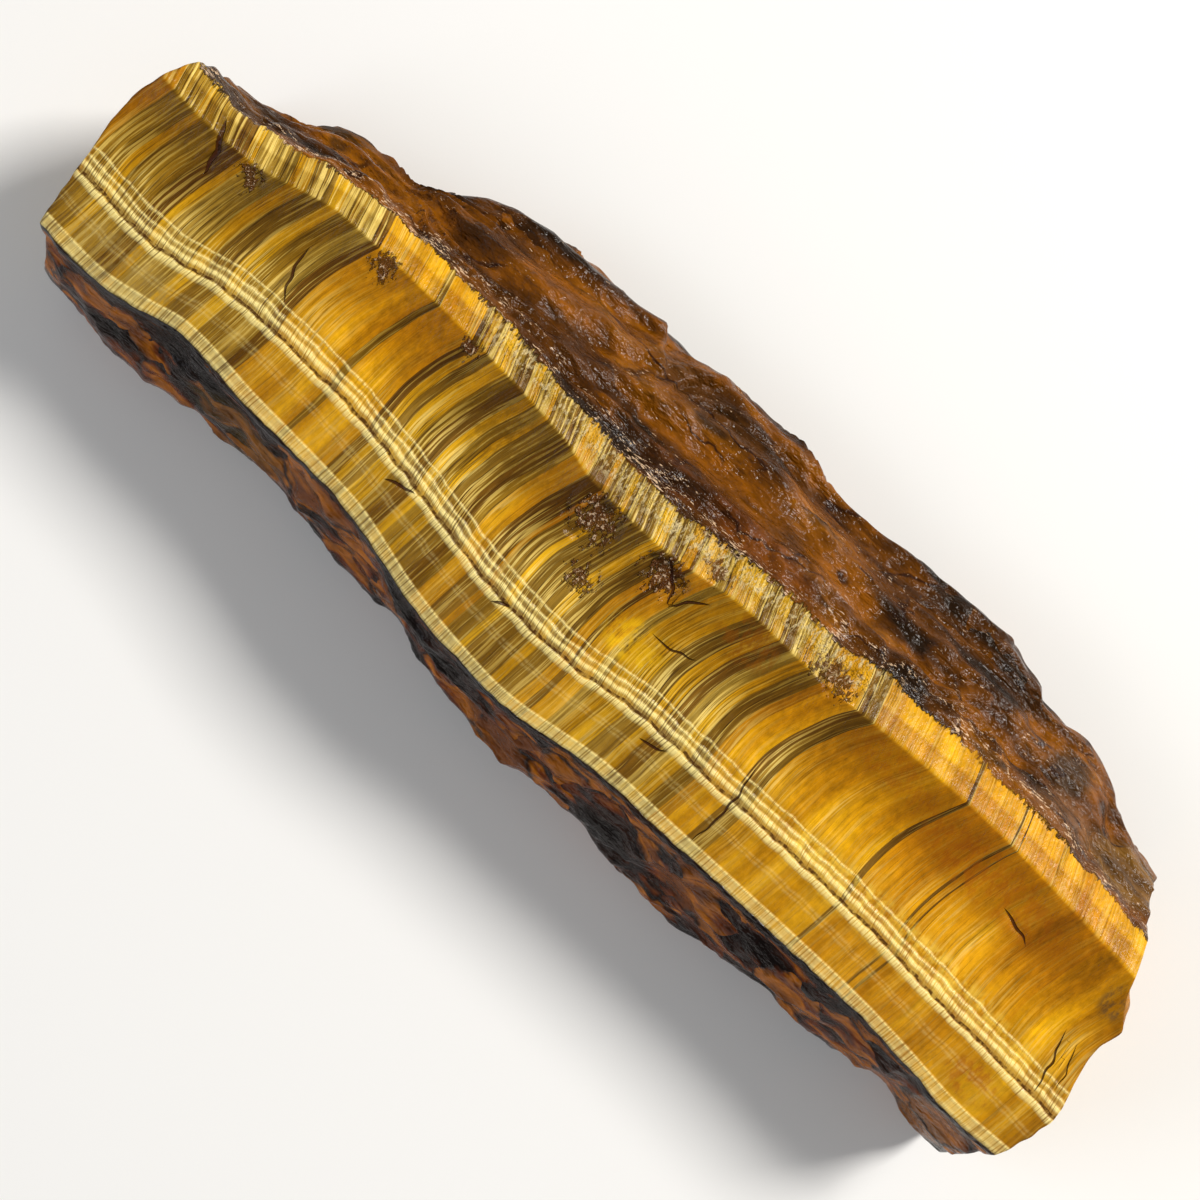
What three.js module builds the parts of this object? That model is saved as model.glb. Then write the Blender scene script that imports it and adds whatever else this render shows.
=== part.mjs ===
// A rough slab of tiger's eye: one seam of parallel quartz fibres with the rock walls of the seam still on it.
//
// Frame, in millimetres: the stone lies on its flat parting face at Z = 0 with the broken fibre face up. +X runs
// along the seam, +Y runs up the fibres from the thin dark wall to the thick brown one, and +Z is up. The origin
// is on the resting face, under the middle of the stone.
//
// The surface is one closed skin. Rings stand across X, each ring is a loop through the key points of a cross
// section, and the rings shrink to a pole on each broken end.
import * as THREE from "three";

// Driving dimensions.
const LENGTH = 300;
const HALF = LENGTH / 2;
const FACE_SAG = 2.4; // how far the fibre face dips between its crease and its kink
const KINK_DROP = 4.6; // how far the face falls from the kink to its upper edge
const RIM_DROP = 2.2; // how far the face falls to its lower edge
const FOOT_INSET = 7; // the resting face's edge lies this far inside the widest line
const END_UNDERCUT = 6; // how far the broken ends lean in towards the resting face
const END_REACH = 42; // the ends' outlines bend the rings within this distance
const END_STEP = 2.6; // the height of the parting steps across a broken end
const SHELF = { y: 9, reach: 5, out: 4 }; // a splinter left standing below the right end's edge

// Sampling: rings along the body and the size of each ring on a broken end, as a share of the outermost.
const BODY_RINGS = 79;
const END_RINGS = [0.88, 0.72, 0.52, 0.28];

// Lines along the stone, each as X and Y. They are read by the section as they cross it.
const LOWER_EDGE = curve([
  [-146, -32], [-128, -32.5], [-117, -30.5], [-106, -28], [-84, -29.3], [-62, -30], [-50, -31],
  [-30, -35.6], [-8, -38], [3, -37.8], [24, -34.4], [46, -33.8], [90, -32.8], [111, -33.2],
  [133, -34.8], [148, -34.2],
]);
const CREASE = curve([
  [-147, -17], [-128, -18], [-117, -17], [-106, -14.2], [-84, -13.2], [-62, -14.3], [-41, -17.2],
  [-19, -20.6], [3, -21], [24, -18.2], [46, -18], [79, -17.2], [111, -18.2], [150, -19.4],
]);
const KINK = curve([
  [-147, 10], [-134, 9.2], [-118, 10.2], [-106, 13.6], [-99, 15.2], [-62, 15.4], [-30, 13.5],
  [-19, 11.2], [3, 11], [24, 14], [46, 14.2], [79, 16.5], [100, 17], [142, 14.8],
]);
const UPPER_EDGE = curve([
  [-146, 17.8], [-138, 16.6], [-128, 17], [-117, 18.5], [-100, 22.8], [-73, 23.8], [-41, 22],
  [-19, 20.2], [3, 19.6], [24, 22.5], [46, 23.2], [53, 25], [100, 26], [122, 24.8], [140, 23],
]);
const BROWN_FLANK = curve([
  [-154, 20.2], [-135.5, 21.6], [-124, 25.6], [-114.5, 30.5], [-94.8, 33], [-87.5, 37.2], [-76, 42.5],
  [-60.4, 46.5], [-19.8, 48.4], [9.4, 49.8], [20.8, 48.2], [63.6, 50.8], [86.4, 46.5], [88.6, 45],
  [105.2, 44.7], [113.5, 42.2], [118.8, 38.8], [135.4, 35.1], [143.8, 29.2], [148, 25.7],
]);
const DARK_FLANK = curve([
  [-153, -34.5], [-139.6, -40], [-119.8, -42.2], [-99, -40.9], [-76, -38.1], [-58.4, -40.7],
  [-31.3, -41.8], [-18.8, -45.8], [14.6, -47.5], [48, -47.9], [82.3, -47], [105.2, -44.2],
  [121, -42], [142.7, -44.3], [155, -36.2],
]);
const FACE_HEIGHT = curve([[-150, 43], [-110, 44], [-40, 45.5], [60, 46], [150, 44]]);

// The broken ends' outlines at the height of the face, each as Y and X.
const LEFT_END = curve([
  [-34, -145.5], [-17, -147.2], [-8, -149.2], [-2, -150], [4, -149.4], [10, -147.8], [18, -145.8],
]);
const RIGHT_END = curve([
  [-36, 146.6], [-24, 149.4], [-18, 150], [-11, 148.2], [-2, 147], [4, 148], [8, 144], [15, 141.4],
  [24, 139.6],
]);

// A smooth curve through points with rising first coordinates: cubic pieces whose slope at each point is that
// of the line joining its two neighbours. It is level beyond both ends.
function curve(points) {
  const last = points.length - 1;
  const slope = points.map((_, i) => {
    const a = points[Math.max(i - 1, 0)];
    const b = points[Math.min(i + 1, last)];
    return (b[1] - a[1]) / (b[0] - a[0]);
  });
  return (at) => {
    const x = THREE.MathUtils.clamp(at, points[0][0], points[last][0]);
    let i = 0;
    while (i < last - 1 && x > points[i + 1][0]) i += 1;
    const [[x0, y0], [x1, y1]] = [points[i], points[i + 1]];
    const width = x1 - x0;
    const t = (x - x0) / width;
    const ease = t * t * (3 - 2 * t);
    const swing = t * (1 - t) * width;
    return y0 + (y1 - y0) * ease + swing * ((1 - t) * slope[i] - t * slope[i + 1]);
  };
}

const { lerp, smoothstep } = THREE.MathUtils;

// A repeatable number from 0 to 1 for a grid point: the fraction of a large sine.
function scatter(i, j, k, seed) {
  const s = Math.sin(i * 127.1 + j * 311.7 + k * 74.7 + seed * 53.3) * 43758.5453;
  return s - Math.floor(s);
}

// Rolling noise from -1 to 1: scattered numbers at the corners of unit cells, blended smoothly inside them.
function rolling(x, y, z, seed) {
  const cell = [x, y, z].map(Math.floor);
  const [u, v, w] = [x, y, z].map((c, i) => smoothstep(c - cell[i], 0, 1));
  const corner = (a, b, c) => scatter(cell[0] + a, cell[1] + b, cell[2] + c, seed);
  const row = (b, c) => lerp(corner(0, b, c), corner(1, b, c), u);
  return 2 * lerp(lerp(row(0, 0), row(1, 0), v), lerp(row(0, 1), row(1, 1), v), w) - 1;
}

// Flaked stone: the squared distance to the nearest of one scattered point per cell, from 0 at the bottom of a
// scoop to about 1 on the sharp ridge between two scoops.
function scoops(x, y, z, seed) {
  const cell = [x, y, z].map(Math.floor);
  let nearest = Infinity;
  for (let a = -1; a <= 1; a += 1) {
    for (let b = -1; b <= 1; b += 1) {
      for (let c = -1; c <= 1; c += 1) {
        const [i, j, k] = [cell[0] + a, cell[1] + b, cell[2] + c];
        const dx = i + scatter(i, j, k, seed) - x;
        const dy = j + scatter(i, j, k, seed + 1) - y;
        const dz = k + scatter(i, j, k, seed + 2) - z;
        nearest = Math.min(nearest, dx * dx + dy * dy + dz * dz);
      }
    }
  }
  return nearest;
}

// Stairs of unit height and unit tread, each with its riser in the second half of the tread.
function stairs(a) {
  const tread = Math.floor(a);
  return tread + smoothstep(a - tread, 0.5, 1);
}

// How much of a flank's relief shows at depth q below its top edge: none there, and none at the resting face.
// It fades towards the ends, where the flanks are steep.
function flankWindow(x, q) {
  return smoothstep(q, 0, 0.1) * (1 - smoothstep(q, 0.82, 1)) * lerp(1, 0.45, smoothstep(Math.abs(x), 85, HALF));
}

// Long parting ledges on the brown flank, with lumps between them. The result is an outward distance.
function brownRelief(x, y, z, q) {
  const wander = 0.9 * rolling(x / 60, 0, 0, 11) + 0.3 * rolling(x / 27, q * 2, 0, 12);
  const climb = 4.4 * q + wander;
  const ledges = 3.8 * (stairs(climb) - climb + 0.3);
  const lumps = 1.6 * rolling(x / 26, y / 12, z / 12, 13);
  const chips = 2.4 * (scoops(x / 30, y / 13, z / 13, 14) - 0.3);
  return (ledges + lumps + chips) * flankWindow(x, q);
}

// Shell-shaped flake scars on the dark flank.
function darkRelief(x, y, z, q) {
  const scars = 4.4 * (scoops(x / 21, y / 12, z / 13, 21) - 0.35);
  const lumps = 0.9 * rolling(x / 17, y / 10, z / 10, 22);
  return (scars + lumps) * flankWindow(x, q);
}

// The stretches of a section, in order round the loop: the key point each starts from, how many points it gets,
// and the relief on it. Each line along the stone is read at the X where the bent ring crosses it.
function stretches(s) {
  const top = FACE_HEIGHT(s);
  const crossing = (line, z) => line(placed(s, line(s), z)[0]);
  const [low, crease, kink, high] = [LOWER_EDGE, CREASE, KINK, UPPER_EDGE].map((line) => crossing(line, top));
  const [brown, dark] = [BROWN_FLANK, DARK_FLANK].map((line) => crossing(line, 0.42 * top));
  const taper = 1 - smoothstep(Math.abs(s), HALF - 40, HALF);
  const inset = lerp(0.4, 1, taper) * FOOT_INSET;
  const ragged = (seed) => 2.4 * rolling(s / 14, 0, 0, seed);
  return [
    { y: low, z: top - RIM_DROP, points: 1 },
    { y: lerp(low, crease, 0.5), z: top - 1.7, points: 2 },
    { y: crease, z: top - 0.5, points: 1 },
    { y: crease + 6.5, z: top - 1.1, points: 2 },
    { y: lerp(crease, kink, 0.6), z: top - FACE_SAG, points: 2 },
    { y: kink, z: top, points: 2 },
    { y: high, z: top - KINK_DROP, points: 10, relief: brownRelief },
    { y: brown, z: 0.42 * top, points: 3, relief: brownRelief },
    { y: brown - 1.5, z: 0.16 * top, points: 2, relief: brownRelief },
    { y: brown - inset + ragged(31), z: 0, points: 4 },
    { y: dark + inset + ragged(32), z: 0, points: 2, relief: darkRelief },
    { y: dark + 1.2, z: 0.16 * top, points: 4, relief: darkRelief },
    { y: dark, z: 0.42 * top, points: 7, relief: darkRelief },
  ];
}

// One loop of points in the plane across X at station s, before the ends bend it.
function section(s) {
  const keys = stretches(s);
  const rise = FACE_HEIGHT(s) - KINK_DROP;
  const loop = [];
  keys.forEach((from, i) => {
    const to = keys[(i + 1) % keys.length];
    const along = new THREE.Vector2(to.y - from.y, to.z - from.z).normalize();
    for (let n = 0; n < from.points; n += 1) {
      const q = n / from.points;
      const y = lerp(from.y, to.y, q);
      const z = lerp(from.z, to.z, q);
      const out = from.relief ? from.relief(s, y, z, 1 - z / rise) : 0;
      loop.push(new THREE.Vector2(y - out * along.y, Math.max(z + out * along.x, 0)));
    }
  });
  return loop;
}

// How far an end's broken surface lies from its flat plane at a point of it. side is -1 on the left end. The
// break follows the fibre sheets, which stand across X, so it runs in flat steps.
function endOffset(side, y, z) {
  const outline = side < 0 ? LEFT_END(y) + HALF : RIGHT_END(y) - HALF;
  const depth = 1 - z / FACE_HEIGHT(side * HALF);
  const climb = 1.8 * rolling(y / 26, z / 24, 0, 43 + side);
  const steps = END_STEP * (stairs(climb) - 0.4) * smoothstep(depth, 0, 0.35);
  const away = (y - SHELF.y) / SHELF.reach;
  const shelf = side > 0 ? SHELF.out * Math.exp(-away * away) * smoothstep(depth, 0, 0.12) : 0;
  return outline - side * (END_UNDERCUT * depth - steps * 0.6) + shelf;
}

// A section's point in space: the rings near an end bend to follow its broken outline.
function placed(s, y, z) {
  const left = 1 - smoothstep(s, -HALF, -HALF + END_REACH);
  const right = smoothstep(s, HALF - END_REACH, HALF);
  return [s + left * endOffset(-1, y, z) + right * endOffset(1, y, z), y, z];
}

// The rings of one end, shrinking from the outermost section towards its middle, with the pole last.
function endRings(side) {
  const s = side * HALF;
  const loop = section(s);
  const middle = loop.reduce((sum, p) => sum.add(p), new THREE.Vector2()).divideScalar(loop.length);
  const rings = END_RINGS.map((share) =>
    loop.map((p) => placed(s, lerp(middle.x, p.x, share), lerp(middle.y, p.y, share))),
  );
  return { rings, pole: placed(s, middle.x, middle.y) };
}

// The closed skin: end rings, body rings and end rings joined in strips, and a fan at each pole.
function stoneGeometry() {
  const left = endRings(-1);
  const right = endRings(1);
  const body = Array.from({ length: BODY_RINGS }, (_, i) => {
    const s = lerp(-HALF, HALF, i / (BODY_RINGS - 1));
    return section(s).map((p) => placed(s, p.x, p.y));
  });
  const rings = [...left.rings.reverse(), ...body, ...right.rings];
  const round = rings[0].length;
  const faces = [];
  for (let i = 0; i + 1 < rings.length; i += 1) {
    for (let j = 0; j < round; j += 1) {
      const [a, b] = [i * round + j, i * round + ((j + 1) % round)];
      faces.push(a, a + round, b + round, a, b + round, b);
    }
  }
  const leftPole = rings.length * round;
  const lastRing = leftPole - round;
  for (let j = 0; j < round; j += 1) {
    const next = (j + 1) % round;
    faces.push(leftPole, j, next);
    faces.push(leftPole + 1, lastRing + next, lastRing + j);
  }
  const points = [...rings.flat(), left.pole, right.pole];
  const geometry = new THREE.BufferGeometry();
  geometry.setAttribute("position", new THREE.Float32BufferAttribute(points.flat(), 3));
  geometry.setIndex(faces);
  geometry.computeVertexNormals();
  return geometry;
}

// Golden brown fibrous quartz with the silky gloss of a fresh break.
function goldenQuartz() {
  return new THREE.MeshStandardMaterial({ color: 0xb07a18, roughness: 0.35, metalness: 0 });
}

const stone = new THREE.Mesh(stoneGeometry(), goldenQuartz());
stone.name = "tigers_eye_stone";

const part = new THREE.Group();
part.add(stone);

export default part;
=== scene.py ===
"""A rough slab of tiger's eye lying on a pale floor, with its broken fibre face up.

The slab is one natural piece: a seam of parallel quartz fibres, and the walls of rock it grew between. +X
runs along the seam, +Y up the fibres from the dark wall to the brown one, and +Z out of the fibre face.
Shapes are worked out in millimetres and turned to metres when the mesh is made.
"""

import bpy
import numpy as np
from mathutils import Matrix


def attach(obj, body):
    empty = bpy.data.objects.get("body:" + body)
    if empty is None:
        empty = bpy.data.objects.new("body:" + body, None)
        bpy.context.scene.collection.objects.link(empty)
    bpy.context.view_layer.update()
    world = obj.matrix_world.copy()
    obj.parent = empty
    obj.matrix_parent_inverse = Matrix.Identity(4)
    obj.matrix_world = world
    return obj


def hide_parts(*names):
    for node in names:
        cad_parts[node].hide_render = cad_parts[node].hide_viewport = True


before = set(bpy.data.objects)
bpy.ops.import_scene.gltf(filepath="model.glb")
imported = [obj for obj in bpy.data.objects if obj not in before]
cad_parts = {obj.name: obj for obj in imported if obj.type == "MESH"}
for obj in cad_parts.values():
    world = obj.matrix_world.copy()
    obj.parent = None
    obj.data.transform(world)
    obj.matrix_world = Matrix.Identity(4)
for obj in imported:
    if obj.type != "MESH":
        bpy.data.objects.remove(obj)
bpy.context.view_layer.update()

MM = 0.001
QUARTZ_IOR = 1.544
GLOSS = 0.14  # lower than quartz has: pale surroundings mirrored in the walls would wash out their colour
FLOOR_REACH = 4

# The stone's own measures.
HALF = 150
FACE_SAG = 2.1  # how far the fibre face dips between its crease and its kink
KINK_DROP = 4.6  # how far the face falls from the kink to its upper edge
RIM_DROP = 2.2  # how far the face falls to its lower edge
FOOT_INSET = 7  # the resting face's edge lies this far inside the widest line
END_UNDERCUT = 6  # how far the broken ends lean in towards the resting face
END_REACH = 42  # the ends' outlines bend the rings within this distance
END_STEP = 2.6  # the height of the parting steps across a broken end
SHELF_Y, SHELF_REACH, SHELF_OUT = 9, 5, 4  # a splinter left standing below the right end's edge

# The grid: rings along the stone, rings on each broken end, and steps on each stretch of a ring.
BODY_RINGS = 396
END_RINGS = 18
FACE_STEPS = (12, 12, 10, 16, 18, 14)
BROWN_STEPS = (44, 16, 12)
BASE_STEPS = (20,)
DARK_STEPS = (10, 14, 28)
FACE, BROWN, BASE, DARK = range(4)


# Shared arithmetic.

def ease(a, low, high):
    """A smooth step: 0 up to low, 1 from high, and t t (3 - 2 t) between them."""
    t = np.clip((a - low) / (high - low), 0, 1)
    return t * t * (3 - 2 * t)


def mix(a, b, share):
    """The straight-line blend of a and b."""
    return a + (b - a) * share


def curve(points):
    """A smooth curve through points with rising first numbers: cubic pieces whose slope at each point is
    that of the line joining its two neighbours. It is level beyond both ends."""
    x, y = np.array(points, float).T
    order = np.arange(len(x))
    before = np.maximum(order - 1, 0)
    after = np.minimum(order + 1, len(x) - 1)
    slope = (y[after] - y[before]) / (x[after] - x[before])

    def height(at):
        at = np.clip(at, x[0], x[-1])
        i = np.clip(np.searchsorted(x, at) - 1, 0, len(x) - 2)
        width = x[i + 1] - x[i]
        t = (at - x[i]) / width
        swing = t * (1 - t) * width
        return mix(y[i], y[i + 1], ease(t, 0, 1)) + swing * ((1 - t) * slope[i] - t * slope[i + 1])

    return height


def scatter(i, j, k, seed):
    """A repeatable number from 0 to 1 for each grid point: the fraction of a large sine."""
    s = np.sin(i * 127.1 + j * 311.7 + k * 74.7 + seed * 53.3) * 43758.5453
    return s - np.floor(s)


def rolling(x, y, z, seed):
    """Rolling noise from -1 to 1: scattered numbers at the corners of unit cells, blended smoothly
    inside."""
    x, y, z = np.broadcast_arrays(x, y, z)
    i, j, k = np.floor(x), np.floor(y), np.floor(z)
    u, v, w = ease(x - i, 0, 1), ease(y - j, 0, 1), ease(z - k, 0, 1)
    rows = [
        mix(scatter(i, j + b, k + c, seed), scatter(i + 1, j + b, k + c, seed), u)
        for b, c in ((0, 0), (1, 0), (0, 1), (1, 1))
    ]
    return 2 * mix(mix(rows[0], rows[1], v), mix(rows[2], rows[3], v), w) - 1


def scoops(x, y, z, seed):
    """Flaked stone: the squared distance to the nearest of one scattered point per unit cell. It is 0 at
    the bottom of a scoop and about 1 on the sharp ridge between two scoops."""
    x, y, z = np.broadcast_arrays(x, y, z)
    cell = np.floor(x), np.floor(y), np.floor(z)
    nearest = np.full(x.shape, np.inf)
    for a, b, c in np.ndindex(3, 3, 3):
        i, j, k = cell[0] + a - 1, cell[1] + b - 1, cell[2] + c - 1
        dx = i + scatter(i, j, k, seed) - x
        dy = j + scatter(i, j, k, seed + 1) - y
        dz = k + scatter(i, j, k, seed + 2) - z
        nearest = np.minimum(nearest, dx * dx + dy * dy + dz * dz)
    return nearest


def stairs(a, foot=0.5):
    """Stairs of unit height and unit tread, each rising from the foot's share of the tread to its end."""
    tread = np.floor(a)
    return tread + ease(a - tread, foot, 1)


def bump_at(a, centre, reach):
    """A bell of height 1: e to the power of minus the squared distance from the centre, over reach
    squared."""
    return np.exp(-(((a - centre) / reach) ** 2))


def linear(colour, alpha=1.0):
    """An sRGB hex colour as linear red, green, blue and alpha."""
    parts = [int(colour[i:i + 2], 16) / 255 for i in (1, 3, 5)]
    return (*[c / 12.92 if c <= 0.04045 else ((c + 0.055) / 1.055) ** 2.4 for c in parts], alpha)


# Lines along the stone, each as X and Y. The cross-sections read them as they cross.

lower_edge = curve([
    (-146, -32), (-128, -32.5), (-117, -30.5), (-106, -28), (-84, -29.3), (-62, -30), (-50, -31),
    (-30, -35.6), (-8, -38), (3, -37.8), (24, -34.4), (46, -33.8), (90, -32.8), (111, -33.2),
    (133, -34.8), (148, -34.2),
])
crease = curve([
    (-147, -17), (-128, -18), (-117, -17), (-106, -14.2), (-84, -13.2), (-62, -14.3), (-41, -17.2),
    (-19, -20.6), (3, -21), (24, -18.2), (46, -18), (79, -17.2), (111, -18.2), (150, -19.4),
])
kink = curve([
    (-147, 10), (-134, 9.2), (-118, 10.2), (-106, 13.6), (-99, 15.2), (-62, 15.4), (-30, 13.5),
    (-19, 11.2), (3, 11), (24, 14), (46, 14.2), (79, 16.5), (100, 17), (142, 14.8),
])
upper_edge = curve([
    (-146, 17.8), (-138, 16.6), (-128, 17), (-117, 18.5), (-100, 22.8), (-73, 23.8), (-41, 22),
    (-19, 20.2), (3, 19.6), (24, 22.5), (46, 23.2), (53, 25), (100, 26), (122, 24.8), (140, 23),
])
brown_flank = curve([
    (-154, 20.2), (-135.5, 21.6), (-124, 25.6), (-114.5, 30.5), (-94.8, 33), (-87.5, 37.2), (-76, 42.5),
    (-60.4, 46.5), (-19.8, 48.4), (9.4, 49.8), (20.8, 48.2), (63.6, 50.8), (86.4, 46.5), (88.6, 45),
    (105.2, 44.7), (113.5, 42.2), (118.8, 38.8), (135.4, 35.1), (143.8, 29.2), (148, 25.7),
])
dark_flank = curve([
    (-153, -34.5), (-139.6, -40), (-119.8, -42.2), (-99, -40.9), (-76, -38.1), (-58.4, -40.7),
    (-31.3, -41.8), (-18.8, -45.8), (14.6, -47.5), (48, -47.9), (82.3, -47), (105.2, -44.2),
    (121, -42), (142.7, -44.3), (155, -36.2),
])
face_height = curve([(-150, 43), (-110, 44), (-40, 45.5), (60, 46), (150, 44)])

# The broken ends' outlines at the height of the face, each as Y and X.
left_end = curve([
    (-34, -145.5), (-17, -147.2), (-8, -149.2), (-2, -150), (4, -149.4), (10, -147.8), (18, -145.8),
])
right_end = curve([
    (-36, 146.6), (-24, 149.4), (-18, 150), (-11, 148.2), (-2, 147), (4, 148), (8, 144), (15, 141.4),
    (24, 139.6),
])

# How far the fibres lean along X by the time they reach the kink, as X and lean.
kink_lean = curve([
    (-150, 2.4), (-138, 2.6), (-95, 3.7), (-41, 3.3), (0, 4.2), (24, 5.4), (46, 5.4), (57, 6.5),
    (88, 5.2), (100, 4), (150, 3),
])

# Cracks: from X and Y, to X and Y, how wide they gape, and how far they bow sideways.
CRACKS = (
    (-131, 13, -126.8, 0.6, 1.4, 0.7),
    (-98.4, 5.2, -94.4, -7.5, 0.8, -1.2),
    (-52, -19.8, -44.5, -18, 0.8, 0.5),
    (-16.6, -22.8, -12.6, -20.9, 0.8, 0.2),
    (13.6, -3.6, 24.6, -1.4, 0.6, -0.9),
    (4.5, 11, 11.8, 2.6, 0.9, 0.8),
    (18.5, 9, 11.8, 2.6, 0.7, -0.6),
    (27, -22, 33.4, -20.4, 0.7, -0.3),
    (50.2, -9, 50.9, -31, 0.6, 0.9),
    (110.4, 6.3, 119.4, 3.4, 0.8, 0.2),
    (139.2, -3.6, 142.6, -18.6, 0.6, 0.4),
    (143, -4, 146, -15, 0.4, 0.3),
)

# Pits where the fibres have torn out, with glints painted in as pale specks: centre X and Y, half length,
# half width and depth.
PITS = (
    (-12.5, 5.5, 7.5, 6.5, 1.2),
    (-6, -6, 4.5, 3.6, 0.6),
    (6.5, 7, 6, 5.5, 1.3),
    (-84, 13.5, 3.4, 5, 0.6),
    (-118.4, 7, 3.4, 3.6, 0.7),
    (48.5, 17.5, 8, 4.6, 1.0),
    (-58, 13.6, 3, 3, 0.5),
    (14, 16, 5, 3, 0.5),
)

# Stains, and on the face one patch of painted sheen: centre X and Y, half length, half width, colour and
# strength.
WALL_STAINS = (
    (-55, 37, 15, 5, "#8a4e04", 0.9),
    (0, 33, 26, 4, "#864c04", 0.7),
    (36, 34, 14, 5, "#8c5004", 0.9),
    (92, 38, 10, 4, "#884e04", 0.9),
    (-10, 42, 20, 4.5, "#52300f", 0.85),
    (-46, 28, 17, 4.5, "#4a2806", 0.8),
    (18, 26, 20, 4, "#6a360c", 0.7),
    (-8, 24, 12, 3.5, "#66340c", 0.6),
    (107, 30, 10, 4.5, "#8a5a30", 0.8),
    (128, 31, 13, 5.5, "#7a5620", 0.9),
    (103, 37.5, 6, 4, "#3e2606", 0.9),
    (-134, 20, 12, 4, "#6a4004", 0.7),
    (-84, -36, 18, 3, "#604c1a", 0.7),
    (134, -40, 10, 5, "#a86208", 0.9),
)
FACE_STAINS_AND_SHEEN = (
    (-124, -25, 15, 5, "#90783e", 0.6),
    (-36, 5, 15, 8, "#6e5010", 0.5),
    (12, -8, 9, 6, "#dba80c", 0.7),
    (30, 9, 9, 6, "#985c08", 0.6),
    (72, 11, 13, 5, "#a05e08", 0.5),
    (105, 8, 24, 7, "#a8620a", 0.6),
    (131, -26, 8, 5, "#9c540a", 0.8),
    (142.5, 8, 4, 5, "#7a5d39", 0.8),
    # Not a stain but painted sheen: the broad pale field over the fold lines at the right.
    (98, -15, 50, 6, "#f0c848", 0.5),
)


# The stone's shape.

def flank_window(x, q):
    """How much of a flank's relief shows at depth q below its top edge: none there and none at the resting
    face. It fades towards the ends, where the flanks are steep."""
    return ease(q, 0, 0.1) * (1 - ease(q, 0.82, 1)) * mix(1, 0.45, ease(np.abs(x), 85, HALF))


def brown_relief(x, y, z, q):
    """The brown wall's outward distance: long parting ledges, which are stairs less their own slope, with
    lumps and shallow scoops on them, and the same again at a third of the size."""
    wander = 0.9 * rolling(x / 60, 0, 0, 11) + 0.3 * rolling(x / 27, q * 2, 0, 12)
    climb = 4.4 * q + wander
    ledges = 3.8 * (stairs(climb) - climb + 0.3)
    lumps = 1.6 * rolling(x / 26, y / 12, z / 12, 13)
    chips = 2.4 * (scoops(x / 30, y / 13, z / 13, 14) - 0.3)
    fine_climb = 9 * q + 2.4 * rolling(x / 38, q * 3, 0, 15) + 0.8 * rolling(x / 13, q * 6, 0, 16)
    patchy = ease(rolling(x / 30, q * 4, 0, 17), -0.5, 0.2)
    fine_ledges = 2.2 * (stairs(fine_climb, 0.75) - fine_climb + 0.4) * patchy
    flakes = 1.1 * (scoops(x / 11, y / 4.5, z / 4.5, 18) - 0.4) + 0.35 * rolling(x / 4, y / 2, z / 2, 19)
    return (ledges + lumps + chips + fine_ledges + flakes) * flank_window(x, q)


def dark_relief(x, y, z, q):
    """The dark wall's outward distance: shell-shaped flake scars, large and small, with lumps between
    them."""
    scars = 4.4 * (scoops(x / 21, y / 12, z / 13, 21) - 0.35)
    lumps = 0.9 * rolling(x / 17, y / 10, z / 10, 22)
    small = 1.9 * (scoops(x / 9, y / 5, z / 5, 24) - 0.45) + 0.3 * rolling(x / 3, y / 2, z / 2, 27)
    return (scars + lumps + small) * flank_window(x, q)


def ragged(s, seed):
    """How far a broken edge strays from its line: two sizes of rolling noise along X."""
    return 0.7 * rolling(s / 6.5, 0, 0, seed) + 0.35 * rolling(s / 2.3, 0, 0, seed + 1)


def key_points(s):
    """The corners of the cross-sections at stations s, in order round the loop, as two lists of Y and Z.
    Each line along the stone is read at the X where the bent ring crosses it."""
    top = face_height(s)
    low, fold, peak, high = [
        line(placed(s, line(s), top)) for line in (lower_edge, crease, kink, upper_edge)
    ]
    brown, dark = [line(placed(s, line(s), 0.42 * top)) for line in (brown_flank, dark_flank)]
    low, high = low + 0.6 * ragged(s, 51), high + ragged(s, 53)
    taper = 1 - ease(np.abs(s), HALF - 40, HALF)
    inset = mix(0.4, 1, taper) * FOOT_INSET
    corners = [
        (low, top - RIM_DROP),
        (mix(low, fold, 0.5), top - 1.2),
        (fold, top - 0.5),
        (fold + 6.5, top - 1.1),
        (mix(fold, peak, 0.6), top - FACE_SAG),
        (peak, top),
        (high, top - KINK_DROP),
        (brown, 0.42 * top),
        (brown - 1.5, 0.16 * top),
        (brown - inset + 2.4 * rolling(s / 14, 0, 0, 31), 0 * top),
        (dark + inset + 2.4 * rolling(s / 14, 0, 0, 32), 0 * top),
        (dark + 1.2, 0.16 * top),
        (dark, 0.42 * top),
    ]
    return [y for y, _ in corners], [z for _, z in corners]


def face_profile(x, y):
    """The fibre face's height over the floor. It falls away below the crease and above the kink, and
    between them it sags by a half sine that is deepest just past the middle."""
    top = face_height(x)
    below = np.clip((crease(x) - y) / (crease(x) - lower_edge(x)), 0, 1.2)
    between = np.clip((y - crease(x)) / (kink(x) - crease(x)), 0, 1)
    above = np.clip((y - kink(x)) / (upper_edge(x) - kink(x)), 0, 1.2)
    sag = 0.5 * (1 - between) + FACE_SAG * np.sin(np.pi * between**1.2)
    return top - sag - (RIM_DROP - 0.5) * below**1.6 - KINK_DROP * above**1.15


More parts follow.
